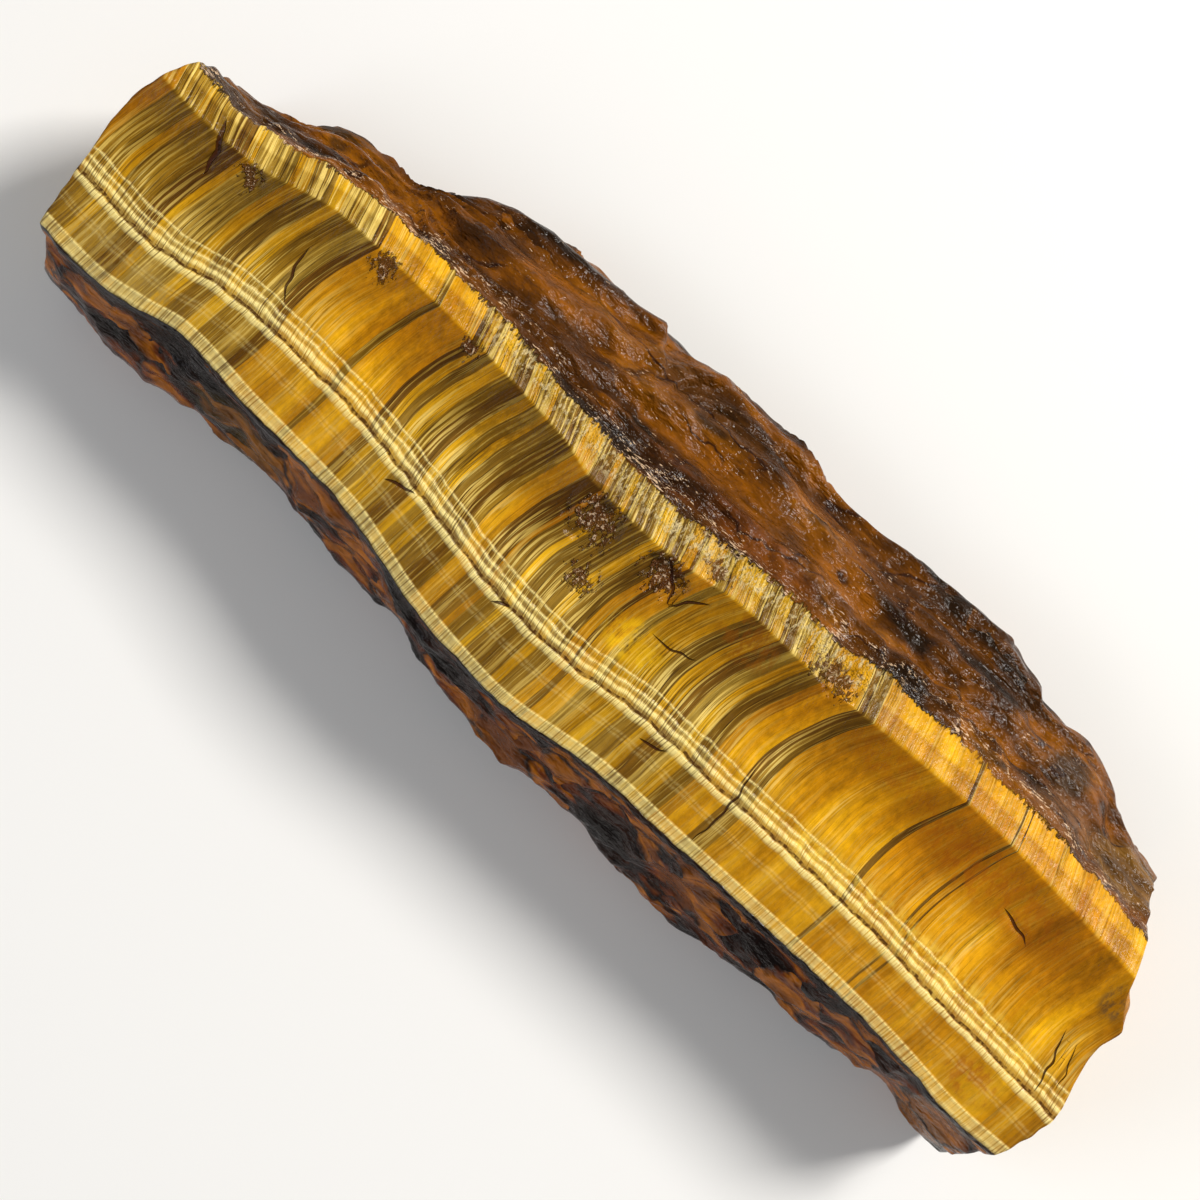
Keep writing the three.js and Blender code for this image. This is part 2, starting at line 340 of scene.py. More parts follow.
def nearest_crack(x, y):
    """The signed distance to the nearest crack's bowed line, and how open the crack is there: a half sine
    along its length times how wide it gapes, fading out 2 mm to either side."""
    signed = np.full(x.shape, 3.0)
    gape = np.zeros(x.shape)
    for x0, y0, x1, y1, wide, bow in CRACKS:
        length = np.hypot(x1 - x0, y1 - y0)
        along = ((x - x0) * (x1 - x0) + (y - y0) * (y1 - y0)) / length**2
        across = ((y - y0) * (x1 - x0) - (x - x0) * (y1 - y0)) / length
        across -= bow * 4 * along * (1 - along) + 0.3 * rolling(along * length / 2.5, 0, 0, 61)
        open_here = wide * np.sin(np.pi * np.clip(along, 0, 1)) ** 0.5 * (1 - ease(np.abs(across), 1.2, 2))
        closer = (np.abs(across) < np.abs(signed)) & (along > -0.2) & (along < 1.2)
        signed = np.where(closer, across, signed)
        gape = np.where(closer, open_here, gape)
    return signed, gape


def pit_field(x, y):
    """How far inside a torn pit each point is, from 1 in its middle to 0 on its ellipse and less beyond,
    and how deep the pit goes."""
    inside = np.full(x.shape, -1.0)
    deep = np.zeros(x.shape)
    for px, py, long, wide, depth in PITS:
        share = 1 - np.hypot((x - px) / long, (y - py) / wide)
        deep = np.where(share > inside, depth, deep)
        inside = np.maximum(inside, share)
    return inside, deep


def stains(x, y, patches):
    """The colour and strength of the stains, and of the painted sheen, over each point: soft-edged
    ellipses, each over the ones before."""
    shade = np.zeros((*x.shape, 4))
    for px, py, long, wide, colour, strength in patches:
        share = 1 - ease(np.hypot((x - px) / long, (y - py) / wide), 0.6, 1.25)
        shade = mix(shade, np.array(linear(colour, strength)), share[..., None])
    return shade


def frayed_share(x, y):
    """Where the fibres have frayed along the upper edge: the middle of the stone, above the kink."""
    above = (y - kink(x)) / (upper_edge(x) - kink(x))
    return ease(x, -70, -45) * (1 - ease(x, 52, 66)) * ease(above, 0.1, 0.6)


def face_relief(x, y):
    """The fibre face's upward distance: a slow roll, low ridges along the fibre bundles, torn pits and
    cracks, and a rough strip along the upper edge where the fibres have frayed."""
    roll = 0.35 * rolling(x / 24, y / 14, 0, 41)
    bundles = 0.12 * rolling(x / 1.9, y / 45, 0, 42) + 0.2 * rolling(x / 7, y / 60, 0, 43)
    signed, gape = nearest_crack(x, y)
    grooves = -0.7 * gape * np.exp(-((signed / 0.6) ** 2))
    inside, deep = pit_field(x, y)
    ragged_inside = inside + 0.45 * rolling(x / 1.7, y / 2.6, 0, 63)
    torn = -deep * ease(ragged_inside, 0.05, 0.45) * (0.55 + 0.9 * scoops(x / 1.8, y / 1.8, 0, 44))
    splinters = 0.8 * (scoops(x / 1.6, y / 4, 0, 47) - 0.5) * frayed_share(x, y)
    return roll + bundles + grooves + torn + splinters


def end_offset(side, y, z):
    """How far an end's broken surface lies from its flat plane. side is -1 on the left end. The break
    follows the fibre sheets, which stand across X, so it runs in flat steps, with thin splinters along the
    fibres."""
    outline = left_end(y) + HALF if side < 0 else right_end(y) - HALF
    depth = 1 - z / face_height(side * HALF)
    climb = 1.8 * rolling(y / 26, z / 24, 0, 43 + side)
    steps = END_STEP * (stairs(climb) - 0.4) * ease(depth, 0, 0.35)
    shelf = SHELF_OUT * bump_at(y, SHELF_Y, SHELF_REACH) * ease(depth, 0, 0.12) * (side > 0)
    return outline - side * (END_UNDERCUT * depth - steps * 0.6) + shelf


def end_splinters(side, y, z):
    """The fine relief of a broken end: thin sheets and splinters that lie along the fibres."""
    sheets = 3.2 * rolling(y / 17, z / 9, 0, 71 + side)
    splinters = 0.45 * rolling(y / 9, z / 1.3, 0, 74) + 0.3 * rolling(y / 2, z / 2, 0, 75)
    return 0.9 * (stairs(sheets) - sheets) + splinters


def placed(s, y, z):
    """X for points of the rings: the rings near an end bend to follow its broken outline."""
    left = 1 - ease(s, -HALF, -HALF + END_REACH)
    right = ease(s, HALF - END_REACH, HALF)
    chipped = 0.35 * rolling(y / 2.6, z / 4, 0, 76)
    return s + left * (end_offset(-1, y, z) + chipped) + right * (end_offset(1, y, z) + chipped)


def ring_loops(s):
    """The cross-sections at stations s: arrays of X, Y and Z with a row for each ring before the relief,
    and of Y and Z after it."""
    steps = FACE_STEPS + BROWN_STEPS + BASE_STEPS + DARK_STEPS
    stretches = ((FACE, FACE_STEPS), (BROWN, BROWN_STEPS), (BASE, BASE_STEPS), (DARK, DARK_STEPS))
    kinds = np.concatenate([np.full(sum(stretch), kind) for kind, stretch in stretches])
    share = np.concatenate([np.arange(n) / n for n in steps])
    start = np.repeat(np.arange(len(steps)), steps)
    ys, zs = (np.array(corner).T for corner in key_points(s))
    end = (start + 1) % len(steps)
    y = mix(ys[:, start], ys[:, end], share)
    z = mix(zs[:, start], zs[:, end], share)
    station = np.broadcast_to(s[:, None], y.shape)
    x = placed(station, y, z)
    z = np.where(kinds == FACE, face_profile(x, y), z)
    for _ in range(2):
        y_soft = (np.roll(y, 1, 1) + 2 * y + np.roll(y, -1, 1)) / 4
        z_soft = (np.roll(z, 1, 1) + 2 * z + np.roll(z, -1, 1)) / 4
        y, z = y_soft, np.where(kinds == BASE, 0, z_soft)
    ahead_y, ahead_z = np.roll(y, -1, 1) - np.roll(y, 1, 1), np.roll(z, -1, 1) - np.roll(z, 1, 1)
    length = np.hypot(ahead_y, ahead_z)
    q = 1 - z / (face_height(station) - KINK_DROP)
    out = np.select(
        [kinds == FACE, kinds == BROWN, kinds == DARK],
        [face_relief(x, y), brown_relief(station, y, z, q), dark_relief(station, y, z, q)],
        0,
    )
    rough_y, rough_z = y - out * ahead_z / length, np.maximum(z + out * ahead_y / length, 0)
    return kinds, x, y, z, rough_y, rough_z


def end_rings(side, y, z):
    """An end's rings, from the outermost inwards, and its pole: the outermost loop shrinks towards its
    middle, and each point is set out by the splinters, which rise from none at the rim."""
    share = np.linspace(1, 0, END_RINGS + 2)[1:, None]
    ring_y, ring_z = mix(y.mean(), y, share), mix(z.mean(), z, share)
    rise = 1 - ease(share, 0.9, 1)
    outline = placed(np.full(ring_y.shape, side * HALF), ring_y, ring_z)
    return outline + rise * end_splinters(side, ring_y, ring_z), ring_y, ring_z


def past_edges(kinds, x, y, z):
    """How far each point lies past the seam's two edges, out on to the walls: the way round the loop on a
    wall, and the distance across the seam everywhere else, where it is less than nothing on the fibres."""
    step = np.hypot(np.diff(y, axis=1), np.diff(z, axis=1))
    way = np.concatenate([np.zeros((len(y), 1)), np.cumsum(step, axis=1)], axis=1)
    brown_start = np.searchsorted(kinds, BROWN)
    round_brown = way - way[:, brown_start:brown_start + 1]
    round_dark = way[:, -1:] + 0.8 - way
    past_brown = np.where(kinds == BROWN, round_brown, y - upper_edge(x))
    past_dark = np.where(kinds == DARK, round_dark, lower_edge(x) - y)
    return past_brown, past_dark


def band_place(x, y):
    """Where a point lies across the fibre bands. The bands cross the seam, leaning back a little above the
    crease, sweeping forward as the cube of the way to the kink, and turning sharply back above it."""
    t = np.clip((y - crease(x)) / (kink(x) - crease(x)), 0, 1)
    above = np.clip((y - kink(x)) / (upper_edge(x) - kink(x)), 0, 2)
    below = np.clip((crease(x) - y) / (crease(x) - lower_edge(x)), 0, 2)
    lean = kink_lean(x) * t**3 - 8.5 * t * (1 - t) ** 2 - 3 * above - 1.3 * below
    return x - lean - 1


def stone_mesh():
    """The closed skin: end rings, body rings and end rings joined in strips of quads, with a fan at each
    pole."""
    s = np.linspace(-HALF, HALF, BODY_RINGS)
    kinds, plain_x, plain_y, plain_z, y, z = ring_loops(s)
    x = placed(np.broadcast_to(s[:, None], y.shape), y, z)
    left = end_rings(-1, y[0], z[0])
    right = end_rings(1, y[-1], z[-1])
    rings = [np.vstack([a[-2::-1], b, c[:-1]]) for a, b, c in zip(left, (x, y, z), right)]
    count, round_ = rings[0].shape
    grid = np.arange(count * round_).reshape(count, round_)
    ahead = np.roll(grid, -1, 1)
    quads = np.stack([grid[:-1], grid[1:], ahead[1:], ahead[:-1]], -1).reshape(-1, 4)
    left_pole, right_pole = count * round_, count * round_ + 1
    first = np.stack([np.full(round_, left_pole), grid[0], ahead[0]], -1)
    last = np.stack([np.full(round_, right_pole), ahead[-1], grid[-1]], -1)
    points = np.stack([ring.ravel() for ring in rings], -1)
    poles = [[part[-1, 0] for part in end] for end in (left, right)]
    points = np.vstack([points, poles])

    mesh = bpy.data.meshes.new("tigers_eye")
    mesh.from_pydata(points * MM, [], quads.tolist() + first.tolist() + last.tolist())
    mesh.polygons.foreach_set("use_smooth", np.ones(len(mesh.polygons), bool))

    # What the material reads. The smooth outlines, before the relief, give the steadier distances.
    plain = (plain_x, plain_y, plain_z)
    x, y, z = [np.vstack([a[-2::-1], b, c[:-1]]) for a, b, c in zip(left, plain, right)]
    on_end = np.zeros((count, 1), bool)
    on_end[:END_RINGS] = on_end[-END_RINGS:] = True
    on_face = (kinds == FACE) & ~on_end
    flat = on_end | (kinds == FACE) | (kinds == BASE)
    past_brown, past_dark = past_edges(kinds, x, y, z)
    signed, gape = nearest_crack(x, y)
    facts = {
        "seam": (band_place(x, y), y - crease(x), y - kink(x)),
        "walls": (
            np.where(flat, y - upper_edge(x), past_brown),
            np.where(flat, lower_edge(x) - y, past_dark),
            on_end | (kinds == BASE),
        ),
        "cracks": (signed, gape * on_face, np.zeros(x.shape)),
        "torn": (
            np.where(on_face, pit_field(x, y)[0], -1),
            frayed_share(x, y) * on_face,
            np.zeros(x.shape),
        ),
    }
    for name, parts in facts.items():
        with_poles = [np.append(part.ravel(), [part[0].mean(), part[-1].mean()]) for part in parts]
        values = np.stack(with_poles, -1)
        mesh.attributes.new(name, "FLOAT_VECTOR", "POINT").data.foreach_set("vector", values.ravel())
    stain = np.where(on_face[..., None], stains(x, y, FACE_STAINS_AND_SHEEN), stains(x, y, WALL_STAINS))
    stain = np.append(stain.reshape(-1, 4), np.zeros((2, 4)), axis=0)
    mesh.attributes.new("stain", "FLOAT_COLOR", "POINT").data.foreach_set("color", stain.ravel())
    return mesh


def lay_out_map(mesh):
    """The stone's own map: the body unrolled, with the way along it across and the way round it up, and
    below it each broken end laid flat, all at nearly one scale."""
    count, round_ = BODY_RINGS + 2 * END_RINGS, sum(FACE_STEPS + BROWN_STEPS + BASE_STEPS + DARK_STEPS)
    places = np.zeros(len(mesh.vertices) * 3)
    mesh.vertices.foreach_get("co", places)
    x, y, z = places.reshape(-1, 3).T / MM
    ring_y, ring_z = y[:-2].reshape(count, round_), z[:-2].reshape(count, round_)
    step = np.hypot(np.roll(ring_y, -1, 1) - ring_y, np.roll(ring_z, -1, 1) - ring_z)
    way = np.cumsum(step, 1) - step
    up = 0.15 + 0.84 * way / step.sum(1, keepdims=True)
    along = (np.arange(count) - END_RINGS) / (BODY_RINGS - 1)
    body = np.stack([np.broadcast_to(0.005 + 0.99 * along[:, None], up.shape).ravel(), up.ravel()], -1)
    body = np.vstack([body, [[0, 0], [0, 0]]])
    flat = np.stack([0.02 + (y + 50) / 310 + 0.4 * (x > 0), 0.01 + z / 365], -1)

    corners = np.zeros(len(mesh.loops), int)
    mesh.loops.foreach_get("vertex_index", corners)
    ring = np.arange(count - 1).repeat(round_)
    on_body = (ring >= END_RINGS) & (ring < count - 1 - END_RINGS)
    on_body = np.concatenate([on_body.repeat(4), np.zeros(6 * round_, bool)])
    uv = np.where(on_body[:, None], body[corners], flat[corners])
    # The last strip of each ring runs on to the top of the map instead of back to its start.
    closing = np.zeros(len(corners), bool)
    closing[:(count - 1) * round_ * 4].reshape(count - 1, round_, 4)[:, -1, 2:] = True
    uv[closing & on_body, 1] = 0.99
    layer = mesh.uv_layers.new(name="OFBake")
    layer.data.foreach_set("uv", uv.ravel())


# Colours and shader nodes.

def put(tree, kind, settings, links, out=0):
    """Adds a node, sets its properties, feeds its inputs, and gives back one of its outputs. Each link is
    an input's name or number with another node's output or a plain value. A setting called stops fills a
    colour ramp with places and colours."""
    node = tree.nodes.new(kind)
    for name, value in settings.items():
        if name == "stops":
            ramp = node.color_ramp
            while len(ramp.elements) < len(value):
                ramp.elements.new(1)
            for element, (place, colour) in zip(ramp.elements, value):
                element.position = place
                element.color = colour
        elif name == "interpolation" and kind == "ShaderNodeValToRGB":
            node.color_ramp.interpolation = value
        else:
            setattr(node, name, value)
    for name, source in links.items():
        if isinstance(source, bpy.types.NodeSocket):
            tree.links.new(source, node.inputs[name])
        else:
            node.inputs[name].default_value = source
    return node.outputs[out] if len(node.outputs) else None


# The fibre bands' names, with each one's colour and how strongly thin lines stripe it, from 0 to 1.
BAND_COLOURS = {
    "amber": ("#cd9006", 0.25),
    "gold": ("#c2870c", 0.5),
    "honey": ("#b0760c", 0.6),
    "yellow": ("#c28e10", 0.9),
    "straw": ("#9e7c2c", 1.0),
    "olive": ("#8f6a18", 1.0),
    "moss": ("#7e5c18", 1.0),
    "umber": ("#704c12", 1.0),
    "ochre": ("#c98808", 0.35),
}

# The bands in order along the stone: the X in millimetres where each one starts, near the crease, with
# its name.
BANDS = (
    (-150, "honey"), (-147.5, "olive"), (-141, "yellow"), (-138.3, "olive"), (-131, "umber"),
    (-126.6, "yellow"), (-124, "straw"), (-116, "yellow"), (-112.4, "moss"), (-107, "yellow"),
    (-103.7, "olive"), (-99, "straw"), (-95, "umber"), (-92, "gold"), (-81, "amber"), (-75.6, "olive"),
    (-73.6, "amber"), (-67, "gold"), (-63.2, "umber"), (-60.7, "yellow"), (-59, "moss"), (-56.8, "yellow"),
    (-53, "olive"), (-49.8, "umber"), (-46.6, "yellow"), (-44.4, "olive"), (-41.4, "yellow"),
    (-39.4, "moss"), (-35, "umber"), (-32, "olive"), (-29.9, "gold"), (-25.2, "umber"), (-21.2, "honey"),
    (-19.7, "moss"),
    (-15.6, "yellow"), (-14.1, "moss"), (-6, "yellow"), (-3.6, "moss"), (1.2, "gold"), (4, "umber"),
    (5.2, "gold"), (9.5, "straw"), (12, "yellow"), (20, "moss"), (25, "yellow"), (27.9, "umber"),
    (31, "straw"), (34, "yellow"), (37, "moss"), (40.8, "honey"), (43.2, "amber"), (49.3, "umber"),
    (51, "moss"), (54, "gold"), (59, "amber"), (68, "gold"), (70, "amber"), (81.2, "umber"),
    (82.7, "ochre"), (96.4, "umber"), (97, "ochre"), (98.6, "umber"), (99.2, "ochre"), (109.2, "gold"),
    (110.6, "ochre"), (128, "amber"), (139, "gold"), (146, "honey"),
)
BANDS_PER_RAMP = 31


def fibre_bands(tree, place):
    """The colour and stripiness of the band at each place: ramps that hold each band's colour until the
    next one starts, taken in turn."""
    colour = None
    for first in range(0, len(BANDS), BANDS_PER_RAMP):
        group = BANDS[first:first + BANDS_PER_RAMP]
        start, end = group[0][0], group[-1][0] + 1
        stops = [((x - start) / (end - start), linear(*BAND_COLOURS[name])) for x, name in group]
        share = put(tree, "ShaderNodeMapRange", {}, {0: place, 1: start, 2: end})
        held = {"stops": stops, "interpolation": "CONSTANT"}
        ramp = put(tree, "ShaderNodeValToRGB", held, {0: share}).node
        if colour is None:
            colour, stripes = ramp.outputs
            continue
        reached = put(tree, "ShaderNodeMath", {"operation": "GREATER_THAN"}, {0: place, 1: start})
        colour = put(tree, "ShaderNodeMix", {"data_type": "RGBA"},
                     {0: reached, 6: colour, 7: ramp.outputs[0]}, 2)
        stripes = put(tree, "ShaderNodeMix", {}, {0: reached, 2: stripes, 3: ramp.outputs[1]})
    return colour, stripes


# Noises in the stone, from 0 to 1 and mostly near a half: the size of their lumps in millimetres along X,
# Y and Z, how many finer layers they carry, and how strong each layer is next to the one before.
LUMPS = {
    "mottle": ((5, 2.2, 2.2), 3, 0.6),
    "grain": ((1.1, 1.1, 1.1), 3, 0.5),
    "wobble": ((5, 5, 5), 2, 0.5),
    "flow": ((30, 8, 8), 3, 0.5),
    "opened": ((16, 6, 6), 1, 0.5),
    "tips": ((0.9, 4, 4), 3, 0.65),
    "grooves": ((14, 1.6, 1.6), 3, 0.6),
    "glint": ((1.8, 0.5, 0.5), 3, 0.75),
    "drift": ((16, 16, 16), 1, 0.5),
    "speckle": ((1.8, 3.2, 2), 3, 0.6),
    "rags": ((1.3, 2.4, 2), 3, 0.65),
    "speck": ((0.7, 0.9, 0.9), 2, 0.7),
    "ends": ((0.9, 2.6, 2), 2, 0.7),
    "silk": ((0.6, 9, 0.6), 2, 0.5),
}

# The same for streaks that follow the fibres: millimetres across the bands, then along the fibres.
STREAKS = {
    "stripe": ((1.1, 40, 1), 2, 0.65),
    "hair": ((0.42, 18, 1), 2, 0.6),
    "pale": ((0.6, 22, 0.3), 2, 0.6),
    "broad": ((6, 60, 1), 1, 0.5),
}

# What changes across the seam, from 0 to 1: the line it is measured from, then pairs of millimetres past
# the line and value. The stripes are crispest at the folds and above the kink. The depth is painted shade and
# sheen, how much light comes back: darkest under the kink and brightest above the crease. The folds are
# painted sheen, the pale lines beside the crease where the fibres fold, and the valleys painted shade, the
# dark lines between them.
LAYERS = {
    "crisp": ("kink", (
        (-44, 0.6), (-34, 0.65), (-28, 1.0), (-21, 0.95), (-15, 0.65), (-6, 0.45), (-0.4, 0.45), (0.1, 1.0),
        (9, 1.0),
    )),
    "depth": ("kink", (
        (-44, 0.48), (-36, 0.48), (-29, 0.52), (-24, 0.54), (-18, 0.47), (-13, 0.4), (-8, 0.36), (-4, 0.35),
        (-0.5, 0.34), (0.1, 0.48), (4, 0.43), (5, 0.56), (9, 0.53),
    )),
    "fold_sheen": ("crease", (
        (-10, 0), (-7.6, 0), (-7, 0.15), (-6.5, 0), (-6, 0.15), (-5.4, 0), (-2.4, 0), (-1.8, 0.6),
        (-0.9, 0.95), (-0.4, 0.1), (0.9, 0.1), (1.4, 0.8), (1.9, 0.9), (2.4, 0.1), (3, 0.1), (3.5, 0.8),
        (4.1, 0), (5.2, 0), (5.7, 0.7), (6.1, 0), (9, 0), (12, 0),
    )),
    "fold_shade": ("crease", (
        (-4, 0), (-3, 0.25), (-2.4, 0), (-0.6, 0), (-0.2, 0.7), (0.8, 0.5), (1.2, 0), (2.2, 0), (2.7, 0.5),
        (3.1, 0), (3.9, 0), (4.5, 0.45), (5.3, 0), (6.2, 0.2), (7.5, 0),
    )),
    "rim": ("dark edge", (
        (-5, 0), (-3.4, 0), (-2.9, 0.8), (-2.3, 0.4), (-1.3, 0.4), (-0.7, 0.7), (0, 0.5), (1, 0.5),
    )),
}


def flakes(tree, in_mm, size):
    """Broken flakes of the given size along X, Y and Z, with bent outlines. Each has a shade of its own and
    leans its own way. Gives back the shade from 0 to 1, the height the lean gives and the way in from the
    outline."""
    bent = put(tree, "ShaderNodeTexNoise", {}, {"Vector": in_mm, "Scale": 1 / 6, "Detail": 2.0}, "Color")
    bent = put(tree, "ShaderNodeVectorMath", {"operation": "MULTIPLY_ADD"},
               {0: bent, 1: (9, 6, 6), 2: in_mm})
    place = put(tree, "ShaderNodeVectorMath", {"operation": "DIVIDE"}, {0: bent, 1: size})
    cell = put(tree, "ShaderNodeTexVoronoi", {}, {"Vector": place, "Scale": 1.0}).node.outputs
    out = put(tree, "ShaderNodeTexVoronoi", {"feature": "DISTANCE_TO_EDGE"},
              {"Vector": place, "Scale": 1.0})
    away = put(tree, "ShaderNodeVectorMath", {"operation": "SUBTRACT"}, {0: place, 1: cell["Position"]})
    lean = put(tree, "ShaderNodeVectorMath", {"operation": "SUBTRACT"},
               {0: cell["Color"], 1: (0.5, 0.5, 0.5)})
    height = put(tree, "ShaderNodeVectorMath", {"operation": "DOT_PRODUCT"}, {0: away, 1: lean}, "Value")
    shade = put(tree, "ShaderNodeSeparateColor", {}, {0: cell["Color"]})
    return shade, height, out


def fibres(tree, shared):
    """The fibre seam: its colour, with painted shade, sheen and glints, its relief in millimetres, and where
    it is torn or cracked.
    """
    seam = put(tree, "ShaderNodeAttribute", {"attribute_name": "seam"}, {}, "Vector")
    band, over_crease, over_kink = put(tree, "ShaderNodeSeparateXYZ", {}, {0: seam}).node.outputs

    # Places across and along the fibres. The bands sway gently, and so do the lines beside the crease.
    band = put(tree, "ShaderNodeMath", {"operation": "MULTIPLY_ADD"}, {0: shared["drift"], 1: 1.6, 2: band})
    band = put(tree, "ShaderNodeMath", {"operation": "SUBTRACT"}, {0: band, 1: 0.8})
    place = put(tree, "ShaderNodeCombineXYZ", {}, {0: band, 1: over_crease, 2: 0.0})
    streaks = {}
    for name, (size, detail, roughness) in STREAKS.items():
        scaled = put(tree, "ShaderNodeVectorMath", {"operation": "DIVIDE"}, {0: place, 1: size})
        streaks[name] = put(tree, "ShaderNodeTexNoise", {}, {
            "Vector": scaled, "Scale": 1.0, "Detail": detail, "Roughness": roughness,
        })
    stripe, hair = streaks["stripe"], streaks["hair"]

    # What changes across the seam.
    height = put(tree, "ShaderNodeMath", {"operation": "MULTIPLY_ADD"},
                 {0: shared["wobble"], 1: 1.6, 2: over_crease})
    height = put(tree, "ShaderNodeMath", {"operation": "SUBTRACT"}, {0: height, 1: 0.8})
    past = {"kink": over_kink, "crease": height, "dark edge": shared["past_dark"]}
    layers = {}
    for name, (line, pairs) in LAYERS.items():
        low, high = pairs[0][0], pairs[-1][0]
        stops = [((at - low) / (high - low), (value, value, value, 1)) for at, value in pairs]
        share = put(tree, "ShaderNodeMapRange", {}, {0: past[line], 1: low, 2: high})
        layers[name] = put(tree, "ShaderNodeValToRGB", {"stops": stops}, {0: share})

    # Bands, whose edges follow the stripes. Within them are stripes and hair lines, or soft specks where
    # the stripes are weak. Real fibres are far finer than the hair lines, which are drawn coarser so that
    # they can be seen.
    edge = put(tree, "ShaderNodeMath", {"operation": "MULTIPLY_ADD"}, {0: stripe, 1: 1.6, 2: band})
    edge = put(tree, "ShaderNodeMath", {"operation": "SUBTRACT"}, {0: edge, 1: 0.8})
    colour, stripiness = fibre_bands(tree, edge)
    stripiness = put(tree, "ShaderNodeMath", {"operation": "MULTIPLY"}, {0: stripiness, 1: layers["crisp"]})
    striped = put(tree, "ShaderNodeMapRange", {}, {0: stripe, 1: 0.32, 2: 0.68, 3: 0.6, 4: 1.4})
    specked = put(tree, "ShaderNodeMapRange", {}, {0: shared["speckle"], 1: 0.3, 2: 0.7, 3: 0.72, 4: 1.28})
    tone = put(tree, "ShaderNodeMix", {}, {0: stripiness, 2: specked, 3: striped})
    colour = put(tree, "ShaderNodeVectorMath", {"operation": "SCALE"}, {0: colour, "Scale": tone})
    dark = put(tree, "ShaderNodeMapRange", {}, {0: hair, 1: 0.47, 2: 0.38})
    dark = put(tree, "ShaderNodeMath", {"operation": "MULTIPLY"}, {0: dark, 1: stripiness})
    dark = put(tree, "ShaderNodeMath", {"operation": "MULTIPLY"}, {0: dark, 1: 0.9})
    colour = put(tree, "ShaderNodeMix", {"data_type": "RGBA"},
                 {0: dark, 6: colour, 7: linear("#3e2606")}, 2)
    # Pale streaks along the fibres: partly their own colour, partly painted sheen.
    light = put(tree, "ShaderNodeMapRange", {}, {0: streaks["pale"], 1: 0.52, 2: 0.6})
    light = put(tree, "ShaderNodeMath", {"operation": "MULTIPLY"}, {0: light, 1: stripiness})
    light = put(tree, "ShaderNodeMath", {"operation": "MULTIPLY"}, {0: light, 1: 0.7})
    colour = put(tree, "ShaderNodeMix", {"data_type": "RGBA"},
                 {0: light, 6: colour, 7: linear("#ecca68")}, 2)

    # Stains, and the painted sheen over the fold lines at the right, break up into specks.
    stain = put(tree, "ShaderNodeAttribute", {"attribute_name": "stain"}, {}).node.outputs
    spread = put(tree, "ShaderNodeMapRange", {}, {0: shared["speckle"], 1: 0.42, 2: 0.58})
    spread = put(tree, "ShaderNodeMath", {"operation": "MULTIPLY"}, {0: spread, 1: stain["Alpha"]})
    colour = put(tree, "ShaderNodeMix", {"data_type": "RGBA"}, {0: spread, 6: colour, 7: stain["Color"]}, 2)

    # Below the crease the bands are fainter.
    faint = put(tree, "ShaderNodeMapRange", {}, {0: over_crease, 1: -1.0, 2: -4.0, 4: 0.2})
    colour = put(tree, "ShaderNodeMix", {"data_type": "RGBA"},
                 {0: faint, 6: colour, 7: linear("#a97c22")}, 2)

    # Painted shade and sheen across the seam: the colour is darkest under the kink and brightest above the
    # crease, and brighter or darker in broad streaks along the bands. Where it is darker it is also redder,
    # so the colour is raised to a power as well as scaled.
    shade_and_sheen_gain = put(tree, "ShaderNodeMath", {"operation": "MULTIPLY"}, {0: layers["depth"], 1: 2.0})
    painted_sheen = put(tree, "ShaderNodeMapRange", {}, {0: streaks["broad"], 1: 0.25, 2: 0.75, 3: 0.75, 4: 1.25})
    shade_and_sheen_gain = put(tree, "ShaderNodeMath", {"operation": "MULTIPLY"}, {0: shade_and_sheen_gain, 1: painted_sheen})
    power = put(tree, "ShaderNodeMapRange", {}, {0: shade_and_sheen_gain, 1: 0.6, 2: 1.1, 3: 1.3, 4: 0.9})
    colour = put(tree, "ShaderNodeGamma", {}, {0: colour, 1: power})
    colour = put(tree, "ShaderNodeVectorMath", {"operation": "SCALE"}, {0: colour, "Scale": shade_and_sheen_gain})

    # Painted shade in the dark lines between the folds. Then pale lines of painted sheen where the fibres
    # fold, and the pale layer along the lower edge. Both are broken up by the stripes.
    fold_shade = put(tree, "ShaderNodeMath", {"operation": "MULTIPLY"}, {0: layers["fold_shade"], 1: 0.8})
    colour = put(tree, "ShaderNodeMix", {"data_type": "RGBA"},
                 {0: fold_shade, 6: colour, 7: linear("#6a4608")}, 2)
    lines = put(tree, "ShaderNodeMath", {"operation": "MAXIMUM"}, {0: layers["fold_sheen"], 1: layers["rim"]})
    fold_sheen_and_pale_rim = put(tree, "ShaderNodeMapRange", {}, {0: hair, 1: 0.4, 2: 0.52, 3: 0.2, 4: 1.0})
    fold_sheen_and_pale_rim = put(tree, "ShaderNodeMath", {"operation": "MULTIPLY"}, {0: fold_sheen_and_pale_rim, 1: lines})
    colour = put(tree, "ShaderNodeMix", {"data_type": "RGBA"}, {0: fold_sheen_and_pale_rim, 6: colour, 7: linear("#ffea98")}, 2)

    # The dark dotted crease.
    dotted = put(tree, "ShaderNodeMapRange", {}, {0: shared["grain"], 1: 0.6, 2: 0.42, 3: 0.1, 4: 0.9})
    crease_line = put(tree, "ShaderNodeMath", {"operation": "COMPARE"}, {0: height, 1: 0.0, 2: 0.35})
    crease_line = put(tree, "ShaderNodeMath", {"operation": "MULTIPLY"}, {0: crease_line, 1: dotted})
    colour = put(tree, "ShaderNodeMix", {"data_type": "RGBA"},
                 {0: crease_line, 6: colour, 7: linear("#452406")}, 2)
